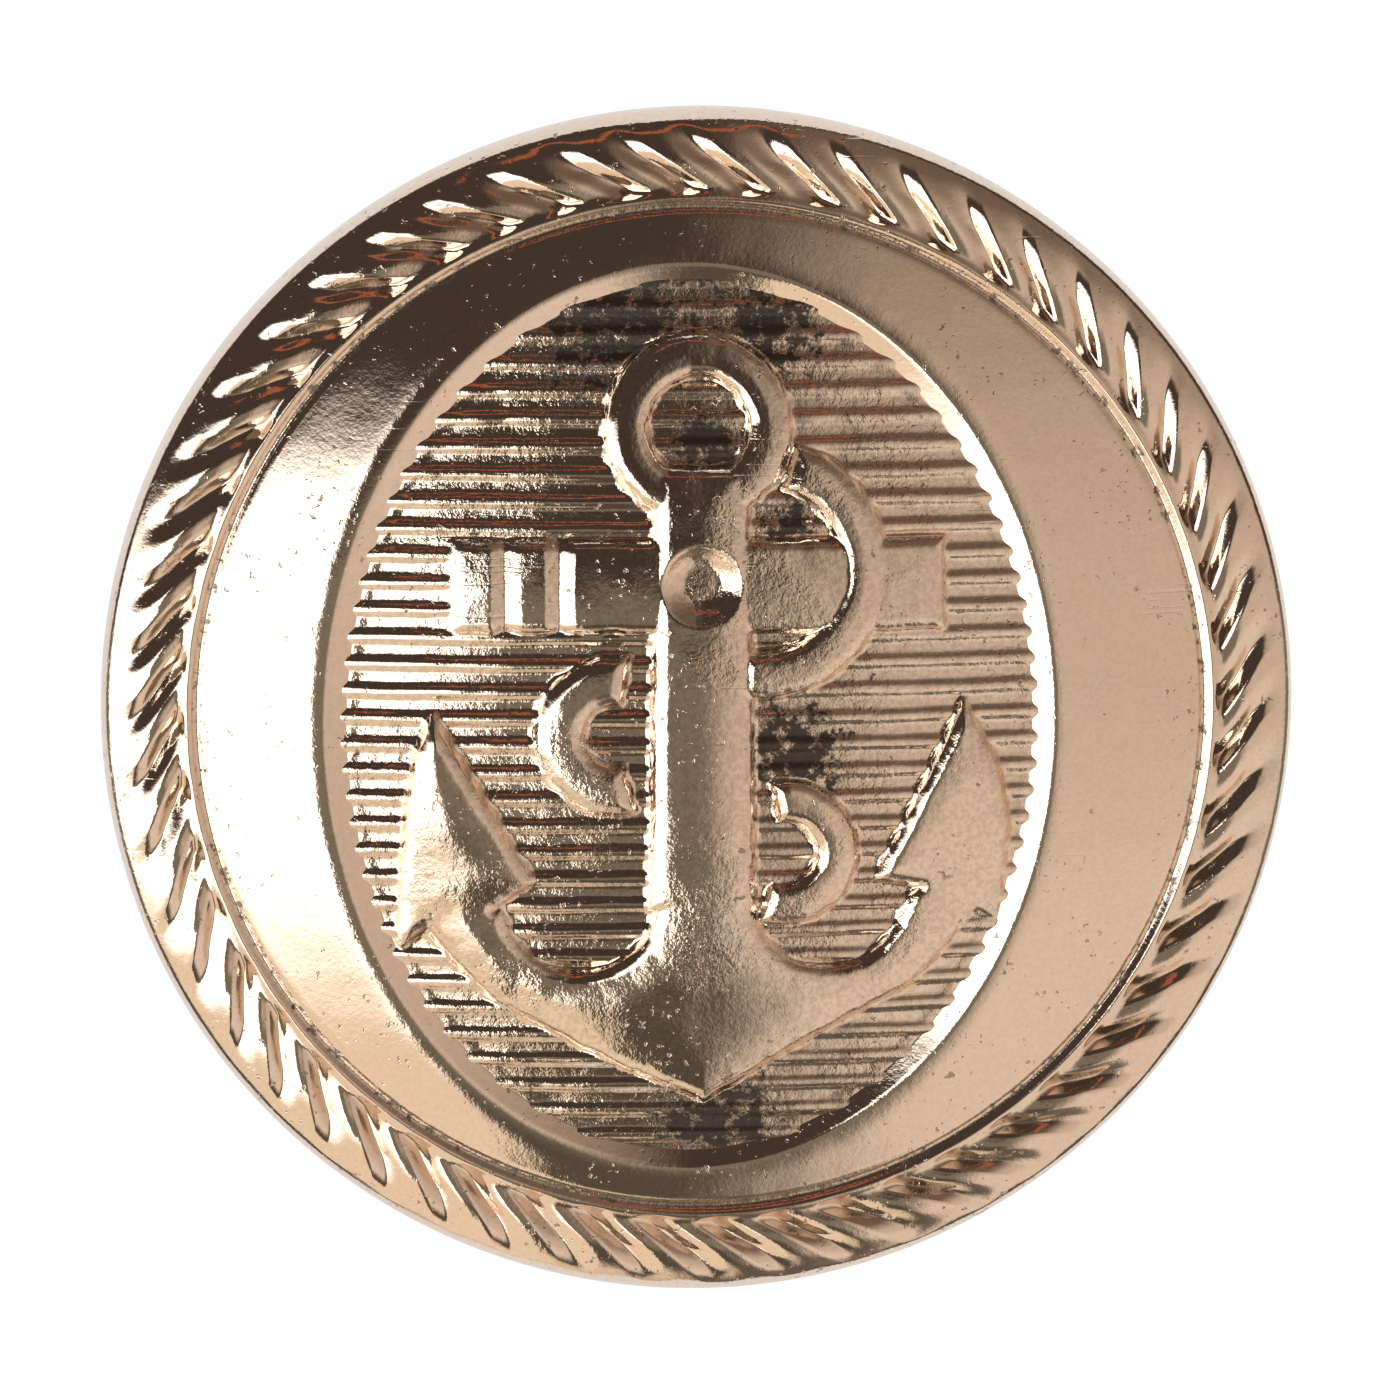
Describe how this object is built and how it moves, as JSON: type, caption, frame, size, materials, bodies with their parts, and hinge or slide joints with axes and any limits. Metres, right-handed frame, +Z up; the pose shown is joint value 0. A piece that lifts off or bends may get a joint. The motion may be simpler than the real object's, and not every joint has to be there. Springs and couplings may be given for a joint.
{
  "type": "sew-on shank button",
  "caption": "Round two-part metal shank button with a rope border, a ribbed oval field and a raised anchor; a wire loop on the back takes the thread.",
  "frame": {"origin": "centre of the wire eye, on the button's axis", "axes": "-Y out of the face, +Y towards the cloth, +Z up the anchor and through the wire eye, +X to the right as the face is seen"},
  "size_m": [0.023, 0.0088, 0.023],
  "materials": {
    "rose_gold_face": "polished, pale rose-gold plating on stamped brass",
    "rose_gold_back": "satin, pale rose-gold plating on pressed brass",
    "plated_wire": "drawn wire, plated",
    "tinned_steel": "dull tinned steel",
    "card": "pressed strawboard"
  },
  "bodies": {
    "root": {"front_shell": "rose_gold_face", "filler_ring": "card", "back_plate": "rose_gold_back", "clinch_washer": "tinned_steel", "wire_shank": "plated_wire"}
  },
  "joints": []
}
